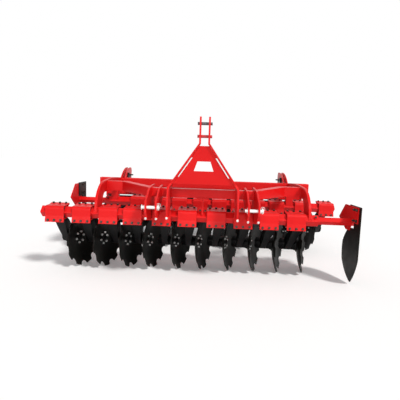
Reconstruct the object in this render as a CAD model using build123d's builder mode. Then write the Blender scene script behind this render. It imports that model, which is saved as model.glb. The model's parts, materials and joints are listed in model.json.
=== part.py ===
from build123d import *
from math import atan2, cos, radians, sin, sqrt, tan
import os

os.makedirs("parts", exist_ok=True)

# Driving dimensions in millimetres and degrees

# Rows of discs
disc_count = 10
disc_pitch = 250
row_gap = 990
first_housing_x = 1377.5
stagger_x = 90
front_shifts = [0, 0, 0, -22, 0, -12, 8, 8, 0, 0]
rear_shifts = [-5, -40, -92, -70, -50, -25, 0, 0, 0, 0]

# Discs
disc_radius = 280
disc_thickness = 6
disc_flat_radius = 72
disc_ball_radius = 620
disc_angle = 18
notch_count = 10
notch_radius = 46
notch_depth = 38
front_notch_turns = [-2, 12, 30, 20, 8, 26, 0, 16, 5, 22]
rear_notch_turns = [10, 24, 3, 18, 32, 7, 15, 28, 0, 20]
disc_side = 110
disc_trail = 302

# Hubs
flange_radius = 70
flange_thickness = 12
spindle_radius = 20
spindle_length = 96
hub_radius = 54
hub_length = 112
eye_radius = 58
eye_length = 60
running_gap = 0.3
pin_gap = 0.05
hub_gap = 1

# Disc beams and their rubber mounted housings
beam_z = 585
beam_side = 80
beam_wall = 8
beam_corner = 10
guide_length = 60
front_left_end = 1515
front_right_end = 1085
rear_right_end = 1566
rear_left_end = 1180
housing_length = 174
housing_half = 63
housing_wall = 6
housing_bend = 27
seam_gap = 2
ear_reach = 90
ear_splay = 12
ear_start = 31
rubber_gap = 0.3
rubber_bevel = 7

# Arms
arm_top_width = 90
arm_end_width = 56
arm_top_side = 30
arm_end_side = 6
arm_pad_front = 34
arm_pad_back = 58
arm_bow = 12

# Side arches
arch_x = 1003
arch_plate = 24
arch_front = 44
arch_leg_y = -14
arch_leg_z = 700
arch_knee_y = 66
arch_knee_z = 802
arch_shoulder_y = 262
arch_shoulder_z = 874
arch_top_y = 480
arch_top_z = 887
arch_leg_back = 150
arch_inner_z = 762
arch_inner_bend = 90

# Cross frame
cross_top = 868
cross_bottom = 770
cross_depth = 92
cross_front_y = 330
kink_x = 830
centre_half = 490
centre_front_y = -50
centre_top = 846
centre_bottom = 766
rear_cross_half = 1240
rear_cross_front = -50
rear_cross_depth = 100
post_side = 80
post_left_x = -1064
post_right_x = 1026

# Hitch and tower
link_pin_y = -340
link_pin_z = 703
link_pin_radius = 14
plate_outer_x = 480
plate_inner_x = 392
tower_foot_x = 305
hitch_plate = 15
boss_radius = 34
pin_overhang = 22
top_link_y = -330
top_link_low_z = 1313
top_link_high_z = 1418
top_link_radius = 12.5
clevis_x = 38
clevis_top = 1472
clevis_depth = 70
tower_bend_z = 1255
tower_knee_z = 905
panel_sheet = 8
panel_top_z = 1232
panel_bottom_z = 905
slot_width = 16
slit_bottom_z = 965
slit_top_z = 1135

# Roller
roller_y = 1900
roller_z = 400
roller_radius = 250
roller_half = 1290
roller_bars = 12
roller_bar_radius = 19
roller_plates = 6
roller_plate = 10
roller_shaft_radius = 30
journal_radius = 20
frame_side_x = 1330
frame_side_plate = 15
swing_y = 1110
swing_z = 806
swing_pin_radius = 15
bracket_x = 968
bracket_plate = 10
bracket_gap = 32
bracket_top = 985
bracket_top_y = 1270
bracket_back_y = 1335
lug_radius = 44
lug_side_gap = 5
arm_tube_start = 300
swing_arm_width = 84
swing_arm_height = 100
cross_tube = 90
cross_tube_y = 1640
cross_tube_z = 650

# Side deflectors
deflector_tube = 50
deflector_out = 315
deflector_tail = 62
deflector_hold = 192
deflector_plate = 10
deflector_left_lift = 50
leaf_sheet = 8
leaf_front = 184
leaf_tip_z = 22
bolt_slot_length = 80
bolt_slot_width = 18
bolt_slot_y = 95
high_slot_rise = 128
low_slot_rise = 27

# Places along the machine, from the front beam's axis, with the origin midway between the ends
hitch_front = link_pin_y - boss_radius - 6
machine_rear = roller_y + roller_radius
front_y = -(hitch_front + machine_rear) / 2
rear_y = front_y + row_gap
hub_z = disc_radius
hub_drop = beam_z - hub_z


def save(piece, label):
    piece.part.label = label
    export_step(piece.part, "parts/" + label + ".step")


def side_plane(x):
    return Plane(origin=(x, 0, 0), x_dir=(0, 1, 0), z_dir=(1, 0, 0))


# Housing places, the front row from its left end and the rear row from its right end
front_x = [disc_pitch * k - first_housing_x + front_shifts[k] for k in range(disc_count)]
rear_x = [first_housing_x + stagger_x - disc_pitch * k + rear_shifts[k] for k in range(disc_count)]


# Disc beams, square tube standing on its edge, with a cap at one end and a slide guide in the other
def disc_beam(capped_end, open_end, y):
    run = 1 if open_end > capped_end else -1
    with BuildPart() as beam:
        with BuildSketch(Plane(origin=(capped_end, y, beam_z), x_dir=(0, 1, 0), z_dir=(run, 0, 0))):
            RectangleRounded(beam_side, beam_side, beam_corner, rotation=45)
        extrude(amount=abs(open_end - capped_end))
        with BuildSketch(Plane(origin=(capped_end + run * beam_wall, y, beam_z), x_dir=(0, 1, 0), z_dir=(run, 0, 0))):
            Rectangle(beam_side - 2 * beam_wall, beam_side - 2 * beam_wall, rotation=45)
        extrude(amount=abs(open_end - capped_end) - beam_wall - guide_length, mode=Mode.SUBTRACT)
        with BuildSketch(Plane(origin=(open_end, y, beam_z), x_dir=(0, 1, 0), z_dir=(-run, 0, 0))):
            Rectangle(deflector_tube + 2 * running_gap, deflector_tube + 2 * running_gap, rotation=45)
        extrude(amount=guide_length, mode=Mode.SUBTRACT)
    return beam


front_beam = disc_beam(-front_left_end, front_right_end, front_y)
save(front_beam, "front_beam")
rear_beam = disc_beam(rear_right_end, -rear_left_end, rear_y)
save(rear_beam, "rear_beam")

# Housings: two bent shells round the beam, bolted at their ears
shell_half = housing_half - housing_wall / 2
ear_rise = (ear_reach - ear_start) * tan(radians(ear_splay))
front_shell_line = [
    (-shell_half - ear_rise, -ear_reach),
    (-shell_half, -ear_start),
    (-shell_half, shell_half),
    (ear_start, shell_half),
    (ear_reach, shell_half + ear_rise),
]
under = housing_wall + seam_gap
back_shell_line = [
    (-shell_half + under - ear_rise, -ear_reach),
    (-shell_half + under, -shell_half),
    (shell_half, -shell_half),
    (shell_half, shell_half - under),
    (ear_reach, shell_half - under + ear_rise),
]


def housings(places, y):
    with BuildPart() as shells:
        for x in places:
            plane = Plane(origin=(x - housing_length / 2, y, beam_z), x_dir=(0, 1, 0), z_dir=(1, 0, 0))
            with BuildSketch(plane):
                with BuildLine():
                    FilletPolyline(*front_shell_line, radius=[8, housing_bend, 8])
                trace(line_width=housing_wall)
            extrude(amount=housing_length)
            with BuildSketch(plane):
                with BuildLine():
                    FilletPolyline(*back_shell_line, radius=[8, housing_bend, 8])
                trace(line_width=housing_wall)
            extrude(amount=housing_length)
    return shells


front_housings = housings(front_x, front_y)
save(front_housings, "front_housings")
rear_housings = housings(rear_x, rear_y)
save(rear_housings, "rear_housings")

# Rubber cords squeezed between the beam's faces and the housing's corners
cord_near = beam_side / 2 + rubber_gap
bend_centre = sqrt(2) * (shell_half - housing_bend)
cord_far = bend_centre + sqrt((housing_bend - housing_wall / 2 - rubber_gap) ** 2 - rubber_bevel**2)
cord_width = 2 * (cord_far - cord_near)
seam_far = sqrt(2) * (shell_half - under - housing_wall / 2 - rubber_gap) - rubber_bevel
seam_width = 2 * (seam_far - cord_near)


def rubber_cords(places, y):
    with BuildPart() as cords:
        for x in places:
            for turn in range(4):
                angle = radians(45 + 90 * turn)
                at_seam = turn % 2 == 0
                far = seam_far if at_seam else cord_far
                half = (seam_width if at_seam else cord_width) / 2
                plane = Plane(
                    origin=(x - housing_length / 2 + 4, y, beam_z),
                    x_dir=(0, cos(angle), sin(angle)),
                    z_dir=(1, 0, 0),
                )
                with BuildSketch(plane):
                    with BuildLine():
                        Polyline(
                            (cord_near, -half + rubber_bevel / 2),
                            (cord_near, half - rubber_bevel / 2),
                            (cord_near + rubber_bevel, half),
                            (far, rubber_bevel),
                            (far, -rubber_bevel),
                            (cord_near + rubber_bevel, -half),
                            close=True,
                        )
                    make_face()
                extrude(amount=housing_length - 8)
    return cords


save(rubber_cords(front_x, front_y), "front_rubbers")
save(rubber_cords(rear_x, rear_y), "rear_rubbers")


# Hub and disc planes, whose Z runs along the hub axis towards the disc's hollow face
def hub_plane(x, y, side):
    turn = radians(disc_angle)
    return Plane(
        origin=(x + side * disc_side, y + disc_trail, hub_z),
        x_dir=(0, 0, -side),
        z_dir=(side * cos(turn), -sin(turn), 0),
    )


# A point beside the middle of a line, upward for a positive bow
def bowed(start, end, bow):
    length = sqrt((end[0] - start[0]) ** 2 + (end[1] - start[1]) ** 2)
    mid_y = (start[0] + end[0]) / 2 - bow * (end[1] - start[1]) / length
    mid_z = (start[1] + end[1]) / 2 + bow * (end[0] - start[0]) / length
    return (mid_y, mid_z)


# Trailing arms, each one forging from the pad under its housing to the hub
def arms(places, y, side):
    hub_back = flange_thickness + hub_gap
    with BuildPart() as row:
        for x in places:
            with BuildPart(mode=Mode.PRIVATE) as arm:
                with BuildSketch(side_plane(x - 2 * arm_top_width)):
                    with BuildLine():
                        pad_z = beam_z - housing_half
                        front_top = (y - arm_pad_front, pad_z)
                        back_top = (y + arm_pad_back, pad_z)
                        back_end = (y + disc_trail + 30, hub_z + eye_radius - 14)
                        front_end = (y + disc_trail - 20, hub_z - eye_radius + 12)
                        Line(front_top, back_top)
                        ThreePointArc(back_top, bowed(back_top, back_end, arm_bow), back_end)
                        Line(back_end, front_end)
                        ThreePointArc(front_end, bowed(front_top, front_end, -arm_bow), front_top)
                    make_face()
                extrude(amount=4 * arm_top_width)
                with BuildSketch(Plane(origin=(x, y - 200, 0), x_dir=(1, 0, 0), z_dir=(0, -1, 0))):
                    with BuildLine():
                        top_mid = side * arm_top_side
                        end_mid = side * arm_end_side
                        shoulder_z = beam_z - housing_half - 30
                        Polyline(
                            (top_mid - arm_top_width / 2, beam_z),
                            (top_mid + arm_top_width / 2, beam_z),
                            (top_mid + arm_top_width / 2, shoulder_z),
                            (end_mid + arm_end_width / 2, hub_z + 20),
                            (end_mid + arm_end_width / 2, 0),
                            (end_mid - arm_end_width / 2, 0),
                            (end_mid - arm_end_width / 2, hub_z + 20),
                            (top_mid - arm_top_width / 2, shoulder_z),
                            close=True,
                        )
                    make_face()
                extrude(amount=-800, mode=Mode.INTERSECT)
                hub = hub_plane(x, y, side)
                with BuildSketch(hub.offset(-hub_back - hub_length)):
                    Circle(hub_radius)
                extrude(amount=hub_length)
                with BuildSketch(hub.offset(-hub_back - hub_length - eye_length + 12)):
                    Circle(eye_radius)
                extrude(amount=eye_length)
                with BuildSketch(hub.offset(-hub_back)):
                    Circle(spindle_radius + running_gap)
                extrude(amount=-spindle_length, mode=Mode.SUBTRACT)
            add(arm.part)
    return row


save(arms(front_x, front_y, 1), "front_arms")
save(arms(rear_x, rear_y, -1), "rear_arms")


# Discs: a dished blade with a flat middle and broad notches, its hub flange and its spindle
def disc(plane, notch_turn):
    start = sqrt(disc_ball_radius**2 - disc_flat_radius**2)
    rim = disc_radius
    rim_height = start - sqrt(disc_ball_radius**2 - rim**2)
    mid_radius = (disc_flat_radius + rim) / 2
    mid_height = start - sqrt(disc_ball_radius**2 - mid_radius**2)
    profile = Plane(origin=plane.origin, x_dir=plane.x_dir, z_dir=-plane.y_dir)
    with BuildPart() as blade:
        with BuildSketch(profile):
            with BuildLine():
                Line((0, 0), (disc_flat_radius, 0))
                ThreePointArc((disc_flat_radius, 0), (mid_radius, mid_height), (rim, rim_height))
                Line((rim, rim_height), (rim, rim_height + disc_thickness / 2))
                Line((rim, rim_height + disc_thickness / 2), (rim - 8, rim_height + disc_thickness - 1))
                ThreePointArc(
                    (rim - 8, rim_height + disc_thickness - 1),
                    (mid_radius, mid_height + disc_thickness),
                    (disc_flat_radius, disc_thickness),
                )
                Line((disc_flat_radius, disc_thickness), (0, disc_thickness))
                Line((0, disc_thickness), (0, 0))
            make_face()
        revolve(axis=Axis(plane.origin, plane.z_dir))
        with BuildSketch(plane):
            with PolarLocations(disc_radius + notch_radius - notch_depth, notch_count, start_angle=notch_turn):
                Circle(notch_radius)
        extrude(amount=disc_radius, mode=Mode.SUBTRACT)
        with BuildSketch(plane):
            Circle(flange_radius)
        extrude(amount=-flange_thickness)
        with BuildSketch(plane.offset(-flange_thickness)):
            Circle(spindle_radius)
        extrude(amount=-spindle_length)
    return blade


for k in range(disc_count):
    save(disc(hub_plane(front_x[k], front_y, 1), front_notch_turns[k]), "front_disc_" + str(k + 1))
    save(disc(hub_plane(rear_x[k], rear_y, -1), rear_notch_turns[k]), "rear_disc_" + str(k + 1))


# Side arches, one thick plate each, seated over the front beam and closed on the rear cross beam
def side_arch(x):
    back = rear_y + rear_cross_front
    with BuildPart() as arch:
        with BuildSketch(side_plane(x - arch_plate / 2)):
            with BuildLine():
                leg = (front_y + arch_leg_y, arch_leg_z)
                shoulder = (front_y + arch_shoulder_y, arch_shoulder_z)
                Line((front_y - arch_front, beam_z), leg)
                ThreePointArc(leg, (front_y + arch_knee_y, arch_knee_z), shoulder)
                ThreePointArc(shoulder, (front_y + arch_top_y, arch_top_z), (back, cross_top))
                Line((back, cross_top), (back, cross_bottom))
                FilletPolyline(
                    (back, cross_bottom),
                    (front_y + arch_leg_back + 40, arch_inner_z),
                    (front_y + arch_leg_back - 10, beam_z),
                    radius=arch_inner_bend,
                )
                Line((front_y + arch_leg_back - 10, beam_z), (front_y - arch_front, beam_z))
            make_face()
            with Locations((front_y, beam_z)):
                Rectangle(beam_side, beam_side, rotation=45, mode=Mode.SUBTRACT)
        extrude(amount=arch_plate)
    return arch


save(side_arch(-arch_x), "side_arch_left")
save(side_arch(arch_x), "side_arch_right")

# Front cross frame: straight ends, two diagonals running forward, and the middle beam
inner_face = arch_x - arch_plate / 2
diag_run = kink_x - centre_half
diag_rise = cross_front_y - centre_front_y
back_shift = cross_depth * tan(atan2(diag_rise, diag_run) / 2)


def cross_section(x, y, bottom, top, back_x, back_y):
    return Wire.make_polygon([(x, y, bottom), (x, y, top), (back_x, back_y, top), (back_x, back_y, bottom)])


with BuildPart() as cross_ends:
    with BuildSketch(Plane.XY.offset(cross_bottom)):
        for side in (-1, 1):
            with BuildLine():
                Polyline(
                    (side * kink_x, front_y + cross_front_y),
                    (side * inner_face, front_y + cross_front_y),
                    (side * inner_face, front_y + cross_front_y + cross_depth),
                    (side * (kink_x - back_shift), front_y + cross_front_y + cross_depth),
                    close=True,
                )
            make_face()
    extrude(amount=cross_top - cross_bottom)
save(cross_ends, "cross_frame_ends")

with BuildPart() as cross_diagonals:
    for side in (-1, 1):
        outer_front = (side * kink_x, front_y + cross_front_y)
        outer_back = (side * (kink_x - back_shift), front_y + cross_front_y + cross_depth)
        inner_front = (side * centre_half, front_y + centre_front_y)
        inner_back = (side * (centre_half - back_shift), front_y + centre_front_y + cross_depth)
        outer = cross_section(*outer_front, cross_bottom, cross_top, *outer_back)
        inner = cross_section(*inner_front, centre_bottom, centre_top, *inner_back)
        add(Solid.make_loft([outer, inner], ruled=True))
save(cross_diagonals, "cross_frame_diagonals")

with BuildPart() as cross_middle:
    with BuildSketch(Plane.XY.offset(centre_bottom)):
        with BuildLine():
            Polyline(
                (-centre_half, front_y + centre_front_y),
                (centre_half, front_y + centre_front_y),
                (centre_half - back_shift, front_y + centre_front_y + cross_depth),
                (-centre_half + back_shift, front_y + centre_front_y + cross_depth),
                close=True,
            )
        make_face()
    extrude(amount=centre_top - centre_bottom)
save(cross_middle, "cross_frame_middle")

# Rear cross beam and the posts that carry it on the rear disc beam
with BuildPart() as rear_cross:
    with BuildSketch(side_plane(-rear_cross_half)):
        with Locations((rear_y + rear_cross_front + rear_cross_depth / 2, (cross_top + cross_bottom) / 2)):
            RectangleRounded(rear_cross_depth, cross_top - cross_bottom, beam_corner)
    extrude(amount=2 * rear_cross_half)
save(rear_cross, "rear_cross_beam")

with BuildPart() as posts:
    for x in (post_left_x, post_right_x):
        with BuildSketch(side_plane(x - post_side / 2)):
            with Locations((rear_y, (cross_bottom + beam_z) / 2)):
                Rectangle(post_side, cross_bottom - beam_z)
            with Locations((rear_y, beam_z)):
                Rectangle(beam_side, beam_side, rotation=45, mode=Mode.SUBTRACT)
        extrude(amount=post_side)
save(posts, "rear_posts")


# Hitch plates: the outer pair runs down to the front beam, the inner pair stops ahead of the housings
hitch_pin_y = front_y + link_pin_y
hitch_nose = [
    (front_y - 170, centre_top + 10),
    (hitch_pin_y - boss_radius + 6, link_pin_z + 55),
    (hitch_pin_y - boss_radius, link_pin_z - 40),
    (hitch_pin_y + 20, link_pin_z - 112),
]
hitch_heel_outer = [
    (front_y - 130, beam_z - 25),
    (front_y - 20, beam_z - 25),
    (front_y + 120, beam_z + 60),
    (front_y + 120, centre_top + 24),
    (front_y + 20, centre_top + 24),
]
hitch_heel_inner = [
    (front_y - 130, beam_z + 30),
    (front_y - 84, beam_z + 90),
    (front_y + 60, centre_bottom - 20),
    (front_y + 60, centre_top + 24),
    (front_y + 20, centre_top + 24),
]


def hitch_pair(side):
    with BuildPart() as pair:
        for x, heel in ((plate_outer_x, hitch_heel_outer), (plate_inner_x, hitch_heel_inner)):
            with BuildSketch(side_plane(side * x - hitch_plate / 2)):
                with BuildLine():
                    Polyline(*hitch_nose, *heel, close=True)
                make_face()
                with Locations((front_y, beam_z)):
                    Rectangle(beam_side, beam_side, rotation=45, mode=Mode.SUBTRACT)
                with Locations((hitch_pin_y, link_pin_z)):
                    Circle(link_pin_radius + pin_gap, mode=Mode.SUBTRACT)
            extrude(amount=hitch_plate)
        add(cross_middle.part, mode=Mode.SUBTRACT)
        add(cross_diagonals.part, mode=Mode.SUBTRACT)
    return pair


save(hitch_pair(-1), "hitch_plates_left")
save(hitch_pair(1), "hitch_plates_right")


# Lower link pins across each pair of hitch plates
def link_pin(side):
    mid = (plate_outer_x + plate_inner_x) / 2
    length = plate_outer_x - plate_inner_x + hitch_plate + 2 * pin_overhang
    with BuildPart() as pin:
        with BuildSketch(Plane(origin=(side * mid, front_y + link_pin_y, link_pin_z), z_dir=(1, 0, 0))):
            Circle(link_pin_radius)
        extrude(amount=length / 2, both=True)
        head = side * (mid + length / 2)
        with BuildSketch(Plane(origin=(head, front_y + link_pin_y, link_pin_z), z_dir=(side, 0, 0))):
            Circle(link_pin_radius + 8)
        extrude(amount=8)
    return pin


save(link_pin(-1), "lower_link_pin_left")
save(link_pin(1), "lower_link_pin_right")


leg_foot_z = tower_knee_z - 38
leg_head_z = tower_bend_z - 4


# Tower side plates: an upright foot, a leg leaning to the middle and a clevis ear at the top
def tower_side(side):
    foot = side * tower_foot_x
    ear = side * clevis_x
    half = hitch_plate / 2
    with BuildPart() as plate:
        with BuildSketch(Plane(origin=(0, front_y + link_pin_y - 60, 0), x_dir=(1, 0, 0), z_dir=(0, -1, 0))):
            with BuildLine():
                Polyline(
                    (foot + side * half, 0),
                    (foot + side * half, leg_foot_z + 8),
                    (ear + side * half, tower_bend_z),
                    (ear + side * half, clevis_top + 50),
                    (ear - side * half, clevis_top + 50),
                    (ear - side * half, leg_head_z),
                    (foot - side * half, leg_foot_z),
                    (foot - side * half, 0),
                    close=True,
                )
            make_face()
        extrude(amount=-900)
        with BuildSketch(side_plane(-tower_foot_x - hitch_plate)):
            with BuildLine():
                pin_y = front_y + link_pin_y
                top_y = front_y + top_link_y
                Polyline(
                    (top_y - clevis_depth / 2, clevis_top),
                    (top_y + clevis_depth / 2, clevis_top),
                    (top_y + clevis_depth / 2 + 10, tower_bend_z),
                    (front_y - 60, tower_knee_z),
                    (front_y + 60, centre_top + 24),
                    (front_y + 60, centre_bottom - 20),
                    (front_y - 84, beam_z + 90),
                    (front_y - 130, beam_z + 20),
                    (pin_y + 40, beam_z + 10),
                    (pin_y + 10, link_pin_z),
                    (front_y - 250, tower_knee_z),
                    (top_y - clevis_depth / 2, tower_bend_z),
                    close=True,
                )
            make_face()
            with Locations((front_y + centre_front_y + cross_depth / 2, (centre_top + centre_bottom) / 2)):
                Rectangle(cross_depth, centre_top - centre_bottom, mode=Mode.SUBTRACT)
            with Locations((top_y, top_link_low_z), (top_y, top_link_high_z)):
                Circle(top_link_radius + pin_gap, mode=Mode.SUBTRACT)
        extrude(amount=2 * (tower_foot_x + hitch_plate), mode=Mode.INTERSECT)
    return plate


save(tower_side(-1), "tower_side_left")
save(tower_side(1), "tower_side_right")

# Tower panel: a sheet between the legs with a window and a slit along each edge
panel_foot_y = front_y - 240
panel_head_y = front_y + top_link_y - clevis_depth / 2 + 20
panel_lean = panel_foot_y - panel_head_y
panel_tall = panel_top_z - panel_bottom_z
panel_rise = sqrt(panel_tall**2 + panel_lean**2)
leg_slope = (tower_foot_x - clevis_x) / (leg_head_z - leg_foot_z)
panel_gap = running_gap + panel_sheet * leg_slope * panel_lean / panel_rise
panel_plane = Plane(
    origin=(0, panel_foot_y, panel_bottom_z),
    x_dir=(1, 0, 0),
    z_dir=(0, -panel_tall, -panel_lean),
)


def leg_inside(z):
    return tower_foot_x - hitch_plate / 2 - leg_slope * (z - leg_foot_z)


def panel_point(z, inset):
    return (leg_inside(z) - inset, (z - panel_bottom_z) * panel_rise / panel_tall)


with BuildPart() as panel:
    with BuildSketch(panel_plane):
        with BuildLine():
            right_low = panel_point(panel_bottom_z, panel_gap)
            right_high = panel_point(panel_top_z, panel_gap)
            left_high = (-right_high[0], right_high[1])
            left_low = (-right_low[0], right_low[1])
            Polyline(right_low, right_high, left_high, left_low, close=True)
        make_face()
        with BuildLine():
            Polyline((-85, 120), (85, 120), (55, 210), (-55, 210), close=True)
        make_face(mode=Mode.SUBTRACT)
        for side in (-1, 1):
            slit = [
                panel_point(slit_bottom_z, -20),
                panel_point(slit_bottom_z, slot_width),
                panel_point(slit_top_z, slot_width),
                panel_point(slit_top_z, -20),
            ]
            with BuildLine():
                Polyline(*[(side * x, y) for x, y in slit], close=True)
            make_face(mode=Mode.SUBTRACT)
    extrude(amount=-panel_sheet)
save(panel, "tower_panel")

# Top link pins in the clevis
with BuildPart() as top_pins:
    for z in (top_link_low_z, top_link_high_z):
        with BuildSketch(Plane(origin=(0, front_y + top_link_y, z), z_dir=(1, 0, 0))):
            Circle(top_link_radius)
        extrude(amount=clevis_x + hitch_plate / 2 + 16, both=True)
save(top_pins, "top_link_pins")

# Centre strut: a shelf on the middle beam and a web down to the front disc beam
with BuildPart() as strut:
    with BuildSketch(side_plane(-7)):
        with BuildLine():
            Polyline(
                (front_y - 50, centre_bottom),
                (front_y + 42, centre_bottom),
                (front_y + 42, beam_z + 20),
                (front_y - 50, beam_z + 20),
                close=True,
            )
        make_face()
        with Locations((front_y, beam_z)):
            Rectangle(beam_side, beam_side, rotation=45, mode=Mode.SUBTRACT)
    extrude(amount=14)
    with BuildSketch(Plane.XY.offset(centre_bottom)):
        with Locations((0, front_y - 10)):
            Rectangle(110, 110)
    extrude(amount=-12)
save(strut, "centre_strut")


# Roller brackets: pairs of round topped plates on the rear cross beam, with the swing pin between
def roller_bracket(side):
    with BuildPart() as pair:
        for offset in (-1, 1):
            x = side * bracket_x + offset * (bracket_gap + bracket_plate) / 2 - bracket_plate / 2
            with BuildSketch(side_plane(x)):
                with BuildLine():
                    front = rear_y + rear_cross_front
                    heel = front + rear_cross_depth
                    top = front_y + bracket_top_y
                    back = front_y + bracket_back_y
                    ThreePointArc((front, cross_top), (front + 130, bracket_top - 38), (top, bracket_top))
                    ThreePointArc((top, bracket_top), (back - 20, bracket_top - 14), (back, bracket_top - 50))
                    Polyline(
                        (back, bracket_top - 50),
                        (back - 40, swing_z - 60),
                        (heel + 30, cross_bottom - 40),
                        (heel, cross_bottom - 10),
                        (heel, cross_top),
                        (front, cross_top),
                    )
                make_face()
                with Locations((swing, swing_z)):
                    Circle(swing_pin_radius, mode=Mode.SUBTRACT)
            extrude(amount=bracket_plate)
        with BuildSketch(Plane(origin=(side * bracket_x, swing, swing_z), z_dir=(1, 0, 0))):
            Circle(swing_pin_radius)
        extrude(amount=bracket_gap / 2 + bracket_plate + 8, both=True)
    return pair


swing = front_y + swing_y
save(roller_bracket(-1), "roller_bracket_left")
save(roller_bracket(1), "roller_bracket_right")

# Roller arms: a lug plate between the bracket's plates, welded into a rectangular tube
tube_y = front_y + cross_tube_y
swing_run = cross_tube_y - cross_tube / 2 - swing_y
swing_fall = swing_z - cross_tube_z
tube_start_z = swing_z - swing_fall * (arm_tube_start - lug_radius) / swing_run
lug_half = (bracket_gap - 2 * lug_side_gap) / 2
with BuildPart() as roller_arms:
    for side in (-1, 1):
        with BuildSketch(side_plane(side * bracket_x - swing_arm_width / 2)):
            with BuildLine():
                Polyline(
                    (swing + arm_tube_start, tube_start_z + swing_arm_height / 2),
                    (tube_y - cross_tube / 2, cross_tube_z + swing_arm_height / 2 - 5),
                    (tube_y - cross_tube / 2, cross_tube_z - cross_tube / 2),
                    (swing + arm_tube_start, tube_start_z - swing_arm_height / 2),
                    close=True,
                )
            make_face()
        extrude(amount=swing_arm_width)
        with BuildSketch(side_plane(side * bracket_x - lug_half)):
            with BuildLine():
                Polyline(
                    (swing, swing_z + lug_radius),
                    (swing + arm_tube_start + 10, tube_start_z + swing_arm_height / 2 - 8),
                    (swing + arm_tube_start + 10, tube_start_z - swing_arm_height / 2 + 8),
                    (swing, swing_z - lug_radius),
                    close=True,
                )
            make_face()
            with Locations((swing, swing_z)):
                Circle(lug_radius)
                Circle(swing_pin_radius + pin_gap, mode=Mode.SUBTRACT)
        extrude(amount=2 * lug_half)
save(roller_arms, "roller_arms")

# Cross tube and bearing plates that carry the roller
with BuildPart() as roller_tube:
    with BuildSketch(side_plane(-frame_side_x + frame_side_plate / 2)):
        with Locations((tube_y, cross_tube_z)):
            RectangleRounded(cross_tube, cross_tube, beam_corner)
    extrude(amount=2 * frame_side_x - frame_side_plate)
save(roller_tube, "roller_cross_tube")

with BuildPart() as bearing_plates:
    for side in (-1, 1):
        with BuildSketch(side_plane(side * frame_side_x - frame_side_plate / 2)):
            with BuildLine():
                Polyline(
                    (tube_y - 60, cross_tube_z + 60),
                    (tube_y + 60, cross_tube_z + 60),
                    (front_y + roller_y + 60, roller_z + 40),
                    (front_y + roller_y + 50, roller_z - 50),
                    (front_y + roller_y - 50, roller_z - 50),
                    (tube_y - 60, cross_tube_z - 60),
                    close=True,
                )
            make_face()
            with Locations((front_y + roller_y, roller_z)):
                Circle(journal_radius + pin_gap, mode=Mode.SUBTRACT)
        extrude(amount=frame_side_plate)
save(bearing_plates, "roller_bearing_plates")

# Cage roller: shaft, round plates and bars
with BuildPart() as roller:
    axle = Plane(origin=(0, front_y + roller_y, roller_z), x_dir=(0, 1, 0), z_dir=(1, 0, 0))
    with BuildSketch(axle):
        Circle(journal_radius)
    extrude(amount=frame_side_x + frame_side_plate, both=True)
    with BuildSketch(axle):
        Circle(roller_shaft_radius)
    extrude(amount=roller_half, both=True)
    for k in range(roller_plates):
        x = -roller_half + k * (2 * roller_half - roller_plate) / (roller_plates - 1)
        with BuildSketch(axle.offset(x)):
            Circle(roller_radius - roller_bar_radius)
        extrude(amount=roller_plate)
    with BuildSketch(axle.offset(-roller_half)):
        with PolarLocations(roller_radius - roller_bar_radius, roller_bars):
            Circle(roller_bar_radius)
    extrude(amount=2 * roller_half)
save(roller, "roller")


# Side deflectors: a tube sliding in the beam's end, a slotted side plate and a leaf shaped blade
def deflector_arm(end_x, y, side, lift):
    plate_x = end_x + side * deflector_out
    with BuildPart() as arm:
        near = end_x - side * deflector_hold
        with BuildSketch(Plane(origin=(near, y, beam_z), x_dir=(0, 1, 0), z_dir=(side, 0, 0))):
            Rectangle(deflector_tube, deflector_tube, rotation=45)
        extrude(amount=deflector_hold + deflector_out + deflector_tail)
        plate_plane = Plane(origin=(plate_x, y, beam_z), x_dir=(0, side, 0), z_dir=(side, 0, 0))
        with BuildSketch(plate_plane.offset(-deflector_plate / 2)):
            with BuildLine():
                Polyline(
                    (-143, 154 + lift),
                    (167, 151 + lift),
                    (314, 9 + lift),
                    (116, -88),
                    (40, -85),
                    (-30, 5),
                    (-143, 5 + lift),
                    close=True,
                )
            make_face()
            with Locations((-bolt_slot_y, high_slot_rise + lift), (-bolt_slot_y, low_slot_rise + lift)):
                SlotOverall(bolt_slot_length, bolt_slot_width, mode=Mode.SUBTRACT)
        extrude(amount=deflector_plate)
    return arm


def deflector_blade(end_x, y, side, lift, face):
    start = face * deflector_plate / 2 if face > 0 else -deflector_plate / 2 - leaf_sheet
    plate_x = end_x + side * (deflector_out + start)
    top = beam_z + 160 + lift
    with BuildPart() as leaf:
        with BuildSketch(Plane(origin=(plate_x, y, 0), x_dir=(0, side, 0), z_dir=(side, 0, 0))):
            with BuildLine():
                Polyline(
                    (-leaf_front, 264),
                    (-leaf_front, top),
                    (70, top),
                    (70, beam_z + 50),
                    (-46, beam_z + 50),
                    (-46, beam_z - 50),
                    (70, beam_z - 62),
                )
                ThreePointArc((70, beam_z - 62), (150, 442), (196, 371))
                ThreePointArc((196, 371), (200, 280), (185, 190))
                ThreePointArc((185, 190), (88, 88), (-47, leaf_tip_z))
                ThreePointArc((-47, leaf_tip_z), (-128, 130), (-leaf_front, 264))
            make_face()
            for rise in (high_slot_rise, low_slot_rise):
                with Locations((-bolt_slot_y, beam_z + rise + lift)):
                    SlotOverall(bolt_slot_length, bolt_slot_width, mode=Mode.SUBTRACT)
            with Locations((20 - leaf_front, 350)):
                Circle(8, mode=Mode.SUBTRACT)
        extrude(amount=leaf_sheet)
    return leaf


save(deflector_arm(front_right_end, front_y, 1, 0), "deflector_arm_right")
save(deflector_blade(front_right_end, front_y, 1, 0, 1), "deflector_blade_right")
save(deflector_arm(-rear_left_end, rear_y, -1, deflector_left_lift), "deflector_arm_left")
save(deflector_blade(-rear_left_end, rear_y, -1, deflector_left_lift, -1), "deflector_blade_left")
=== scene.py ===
import bpy
import bmesh
import json
import math
from mathutils import Matrix, Vector


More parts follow.
